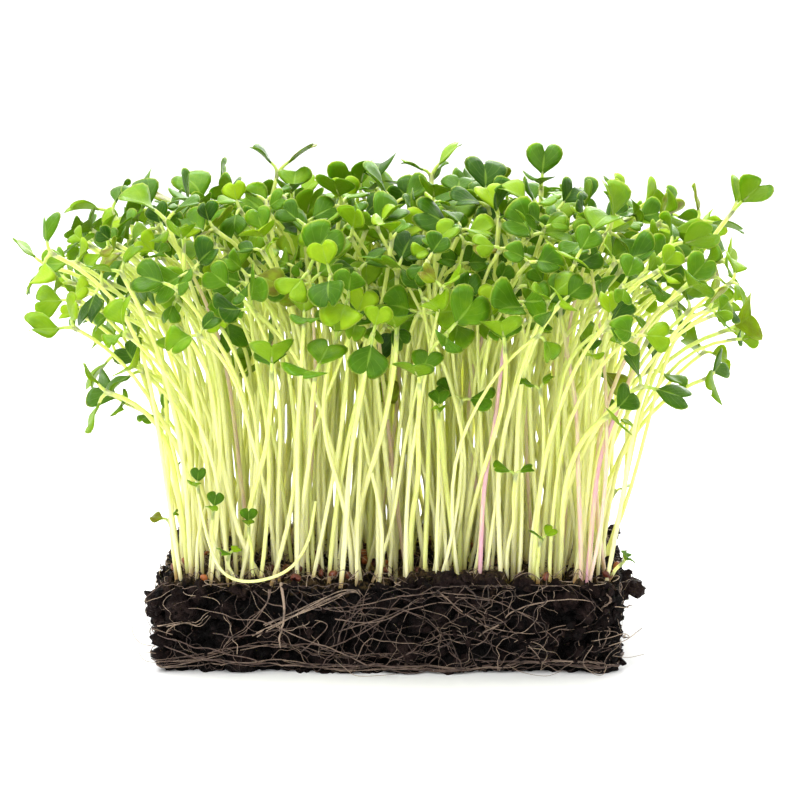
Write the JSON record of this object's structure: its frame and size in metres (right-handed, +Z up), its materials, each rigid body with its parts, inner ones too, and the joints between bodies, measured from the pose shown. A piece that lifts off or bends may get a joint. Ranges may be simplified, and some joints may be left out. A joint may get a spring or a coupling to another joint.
{
  "type": "microgreens soil block",
  "caption": "Rectangular block of moulded potting soil, netted with roots, that carries a dense stand of brassica sprouts with notched seed leaves.",
  "frame": {"origin": "centre of the soil block's flat underside", "axes": "+X along the block's long front face, +Y from the front to the back, +Z up"},
  "size_m": [0.2007, 0.1336, 0.1337],
  "materials": {
    "soil": "rough",
    "root": "matte",
    "sprout": "satin"
  },
  "bodies": {
    "root": {"soil_block": "soil", "root_net": "root", "sprout_clump_01": "sprout", "sprout_clump_02": "sprout", "sprout_clump_03": "sprout", "sprout_clump_04": "sprout", "sprout_clump_05": "sprout", "sprout_clump_06": "sprout", "sprout_clump_07": "sprout", "sprout_clump_08": "sprout", "sprout_clump_09": "sprout", "sprout_clump_10": "sprout", "sprout_clump_11": "sprout", "sprout_clump_12": "sprout", "sprout_clump_13": "sprout", "sprout_clump_14": "sprout", "sprout_clump_15": "sprout", "sprout_clump_16": "sprout", "sprout_clump_17": "sprout", "sprout_clump_18": "sprout", "sprout_clump_19": "sprout", "sprout_clump_20": "sprout", "sprout_clump_21": "sprout", "sprout_clump_22": "sprout", "sprout_clump_23": "sprout", "sprout_clump_24": "sprout", "sprout_clump_25": "sprout", "sprout_clump_26": "sprout", "sprout_clump_27": "sprout", "sprout_clump_28": "sprout", "sprout_clump_29": "sprout", "sprout_clump_30": "sprout", "sprout_clump_31": "sprout", "sprout_clump_32": "sprout", "sprout_clump_33": "sprout", "sprout_clump_34": "sprout", "sprout_clump_35": "sprout", "sprout_clump_36": "sprout", "sprout_clump_37": "sprout", "sprout_clump_38": "sprout", "sprout_clump_39": "sprout", "sprout_clump_40": "sprout", "sprout_clump_41": "sprout", "sprout_clump_42": "sprout", "sprout_clump_43": "sprout", "sprout_clump_44": "sprout", "sprout_clump_45": "sprout", "sprout_clump_46": "sprout", "sprout_clump_47": "sprout", "sprout_clump_48": "sprout"}
  },
  "joints": []
}
